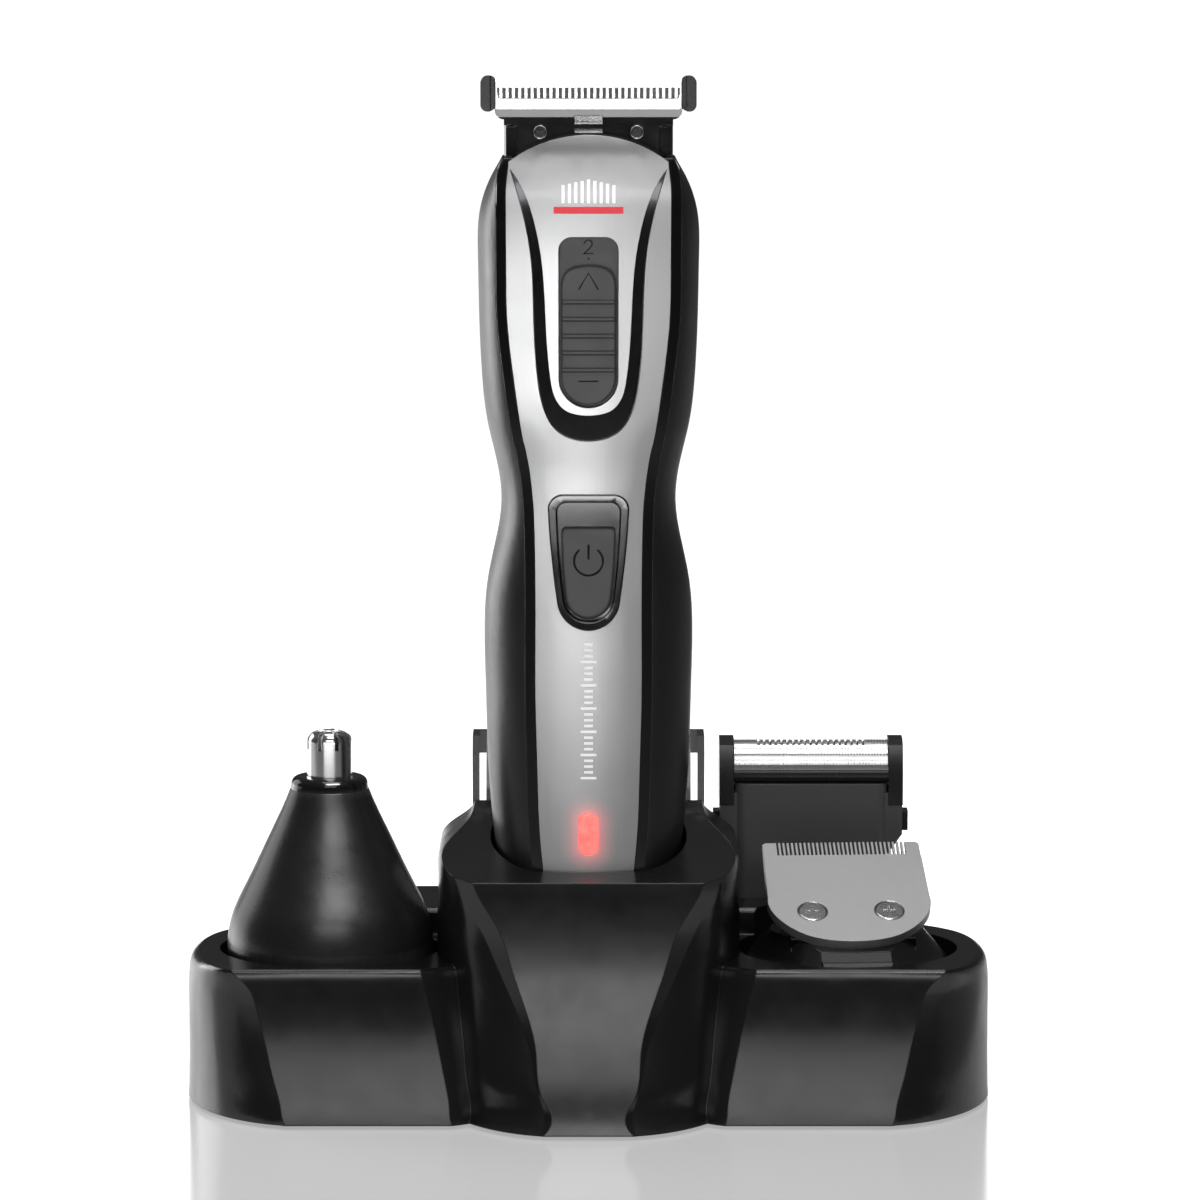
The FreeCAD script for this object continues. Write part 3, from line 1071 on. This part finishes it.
# =====================================================================
# FOIL SHAVER HEAD
# =====================================================================
sb = S("shaver_bottom")
hwid = 15.2
sbody = box(sc - hwid, sc + hwid, scy - 6.2, scy + 6.2, sb, 57.9)
sbody = round_edges(sbody, 2.2, lambda e: e.BoundBox.ZLength > 20)
shoulder = box(sc - 18.2, sc + 18.2, scy - 5.4, scy + 5.4, 43.5, 56.0)
shoulder = shoulder.cut([prism_y(Part.Wire(poly([xz(sc + s_ * 18.4, 43.2), xz(sc + s_ * 15.0, 43.2), xz(sc + s_ * 18.4, 48.0)])), 10, 50) for s_ in (-1, 1)])
sbody = sbody.fuse(shoulder)
arms = []
for s_ in (-1, 1):
    x0, x1 = sc + s_ * 15.4, sc + s_ * 18.3
    x0, x1 = min(x0, x1), max(x0, x1)
    a = prism_x([(scy - 5.6, 53.6), (scy - 5.6, 60.0), (scy - 4.2, 65.4), (scy - 2.0, 66.6), (scy + 2.0, 66.6), (scy + 4.2, 65.4), (scy + 5.6, 60.0), (scy + 5.6, 53.6)], x0, x1)
    arms.append(a)
fr = box(sc - 15.4, sc + 15.4, scy - 5.8, scy + 5.8, 57.9, 61.6)
fr = round_edges(fr, 1.75, lambda e: e.BoundBox.XLength > 20)
fz, frad = 61.7, S("foil_radius")
foil_out = Part.makeCylinder(frad, 30.6, Vector(sc - 15.3, scy, fz), Vector(1, 0, 0))
foil_out = foil_out.fuse(box(sc - 15.3, sc + 15.3, scy - frad, scy + frad, 59.2, fz))
foil_in = Part.makeCylinder(frad - 0.45, 34, Vector(sc - 17, scy, fz), Vector(1, 0, 0)).fuse(
    box(sc - 17, sc + 17, scy - frad + 0.45, scy + frad - 0.45, 57.0, fz))
foil = foil_out.cut(foil_in).cut(box(sc - 20, sc + 20, scy - 10, scy + 10, 50, 59.2))
fslots = []
for i in range(19):
    x = sc + (i - 9) * 1.16
    fslots.append(box(x - 0.22, x + 0.22, scy - 2.6, scy + 2.6, 60.0, 70.0))
foil = foil.cut(fslots)
cut_room = box(sc - 15.0, sc + 15.0, scy - frad + 0.45, scy + frad - 0.45, 57.0, 62.0)
fr = fr.cut(foil_out).cut(cut_room)
sbody = sbody.cut(cut_room)
sbody = sbody.cut(arms)
drive = cyl(2.6, 40, (sc, scy, sb - 1))
sbody = sbody.cut(drive)
# room for the release buttons
bz = 49.9
btn_room = [box(sc + s_ * 17.0 - 1.9, sc + s_ * 17.0 + 1.9, scy - 2.3, scy + 2.3, bz - 2.3, bz + 2.3) for s_ in (-1, 1)]
sbody = sbody.cut(btn_room)
node("shaver_housing", one(sbody))
node("shaver_side_arms", Part.makeCompound([one(x) for x in arms]))
node("foil_frame", one(fr))
node("shaver_foil", one(foil))
core = Part.makeCylinder(frad - 0.95, 24.0, Vector(sc - 12.0, scy, fz), Vector(1, 0, 0)).fuse(
    box(sc - 12.0, sc + 12.0, scy - 2.4, scy + 2.4, 57.6, fz))
grooves = [box(sc + (i - 9.5) * 1.15 - 0.3, sc + (i - 9.5) * 1.15 + 0.3, scy - 5, scy + 5, 62.3, 70) for i in range(20)]
core = core.cut(grooves)
node("shaver_cutter", one(core))
for s_, nm in ((-1, "left_release_button"), (1, "right_release_button")):
    rect_body(nm, "YZ_Plane", "Sizes.button_width", "Sizes.button_height", "Sizes.button_depth",
              sc + s_ * 18.2, scy, bz)

# =====================================================================
# GUIDE COMB
# =====================================================================
cw = S("comb_half_width")
c0, c1 = S("comb_bottom"), S("comb_top")
cy0, cy1 = 20.4, 35.6
frame_o = box(-cw, cw, cy0, cy1, c0, c0 + 14.0)
frame_o = round_edges(frame_o, 2.0, lambda e: e.BoundBox.ZLength > 10)
frame_i = box(-cw + 1.4, cw - 1.4, cy0 + 1.4, cy1 - 1.4, c0 - 1, c0 + 20.0)
sides = []
for s_ in (-1, 1):
    xa, xb = (cw - 1.4, cw) if s_ > 0 else (-cw, -cw + 1.4)
    sides.append(prism_x([(cy0 + 2.2, c0 + 10), (cy0 + 2.2, c1 - 3.5), (cy0 + 4.0, c1), (cy1 - 2.2, c1), (cy1 - 2.2, c0 + 10)], xa, xb))
comb = frame_o.cut(frame_i).fuse(sides)
nt = int(S("comb_teeth"))
teeth = []
for i in range(nt):
    x = (i - (nt - 1) / 2.0) * 4.9
    teeth.append(prism_x([(cy0 + 0.7, c0 + 12.0), (cy0 + 1.6, c1 - 14.0), (cy0 + 4.4, c1 - 5.0), (cy0 + 8.5, c1 - 1.0),
                          (cy1 - 2.2, c1 - 1.0), (cy1 - 2.2, c1 - 3.2), (cy0 + 9.0, c1 - 3.6), (cy0 + 6.2, c1 - 7.0), (cy0 + 3.8, c1 - 15.0), (cy0 + 2.3, c0 + 12.0)], x - 0.7, x + 0.7))
bar = box(-cw, cw, cy1 - 3.6, cy1 - 2.2, c1 - 4.6, c1)
comb = comb.fuse(teeth + [bar])
node("guide_comb", one(comb))

# ---------------------------------------------------------------- checks
doc.recompute()
os.makedirs("parts", exist_ok=True)
bad = []
for o in doc.Objects:
    st_ = [x for x in o.State if x in ("Invalid", "Error")]
    if st_:
        bad.append((o.Name, st_))
for o in NODES:
    s_ = o.Shape
    if s_.isNull() or not s_.isValid() or not s_.Solids:
        bad.append((o.Label, "shape null=%s valid=%s solids=%d" % (s_.isNull(), (not s_.isNull()) and s_.isValid(), len(s_.Solids))))
total = None
for o in NODES:
    bb = o.Shape.BoundBox
    print("%-24s solids %2d vol %9.1f  x %7.2f %7.2f  y %7.2f %7.2f  z %7.2f %7.2f" % (
        o.Label, len(o.Shape.Solids), o.Shape.Volume, bb.XMin, bb.XMax, bb.YMin, bb.YMax, bb.ZMin, bb.ZMax))
if bad:
    raise SystemExit("bad shapes: %s" % bad)
names = [o.Label for o in NODES]
assert len(set(names)) == len(names) and len(names) <= 60, len(names)
for o in NODES:
    o.Shape.exportStep("parts/%s.step" % o.Label)
print(len(NODES), "nodes written")
